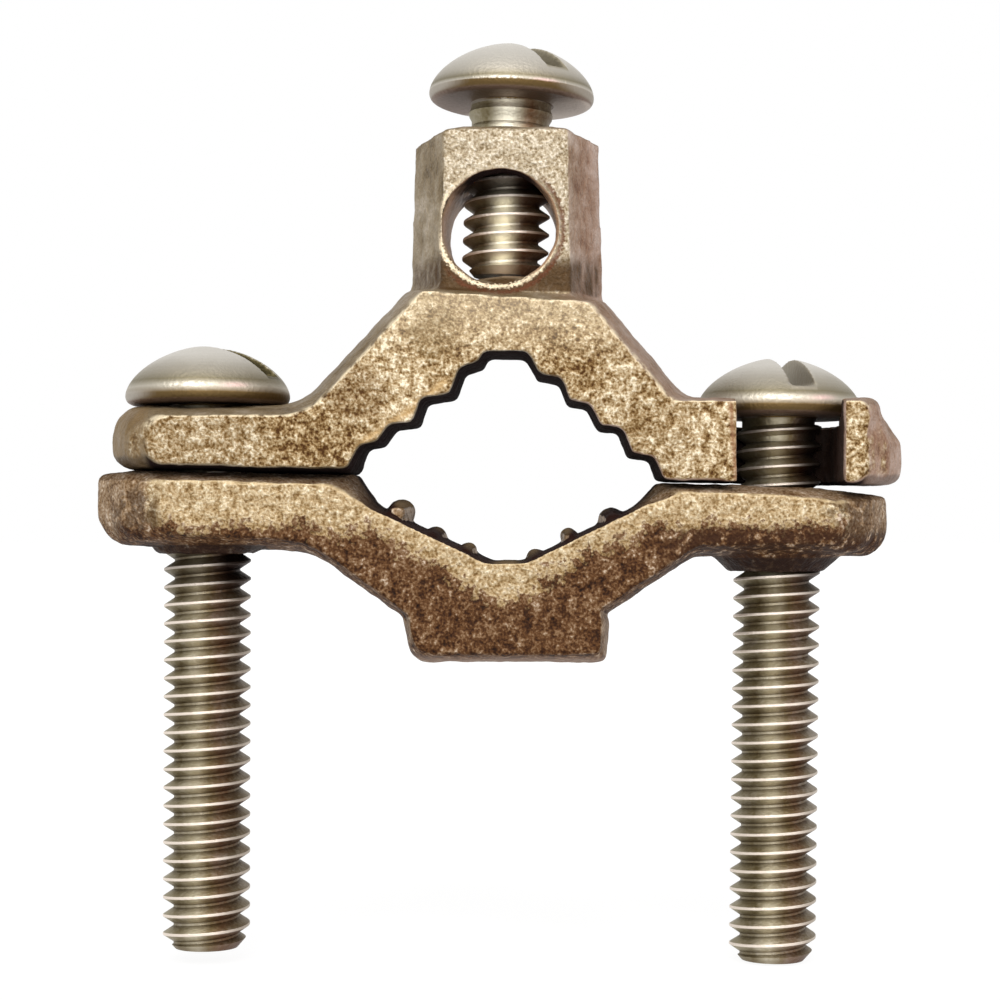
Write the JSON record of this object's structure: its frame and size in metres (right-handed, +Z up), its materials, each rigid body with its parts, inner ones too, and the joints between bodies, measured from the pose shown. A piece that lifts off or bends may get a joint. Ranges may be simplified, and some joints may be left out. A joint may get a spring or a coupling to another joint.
{
  "type": "ground clamp",
  "caption": "Cast bronze ground clamp with toothed jaws drawn round a water pipe by long screws, and a boss whose screw grips an earthing wire.",
  "frame": {"origin": "on the pipe's centre line, halfway through the depth of the jaws, on the split between the jaws", "axes": "+X along the jaws towards the open-slotted ear, +Y along the pipe away from the slot's mouth, +Z up through the wire boss"},
  "size_m": [0.0557, 0.0132, 0.0641],
  "materials": {
    "casting": "rough cast bronze",
    "screw": "satin, slightly yellowed"
  },
  "bodies": {
    "lower_jaw": {"lower_jaw": "casting"},
    "upper_jaw": {"upper_jaw": "casting"},
    "left_clamp_screw": {"left_clamp_screw": "screw"},
    "right_clamp_screw": {"right_clamp_screw": "screw"},
    "wire_screw": {"wire_screw": "screw"}
  },
  "joints": [
    {"name": "jaw_lift", "type": "slide", "parent": "lower_jaw", "child": "upper_jaw", "axis": [0, 0, 1], "range_m": [-0.00015, 0.028]},
    {"name": "left_screw_turn", "type": "hinge", "parent": "upper_jaw", "child": "left_clamp_screw", "pos_m": [-0.0211, 0, 0.00515], "axis": [0, 0, 1], "range_deg": [-43, 7938]},
    {"name": "right_screw_turn", "type": "hinge", "parent": "upper_jaw", "child": "right_clamp_screw", "pos_m": [0.0189, 0, 0.0043], "axis": [0, 0, 1], "range_deg": [-43, 7938]},
    {"name": "wire_screw_travel", "type": "slide", "parent": "upper_jaw", "child": "wire_screw", "axis": [0, 0, 1], "range_m": [0, 0.007]}
  ],
  "couplings": [
    {"joint": "left_screw_turn", "follows": "jaw_lift", "rad_per_m": 4947.4},
    {"joint": "right_screw_turn", "follows": "jaw_lift", "rad_per_m": 4947.4}
  ]
}
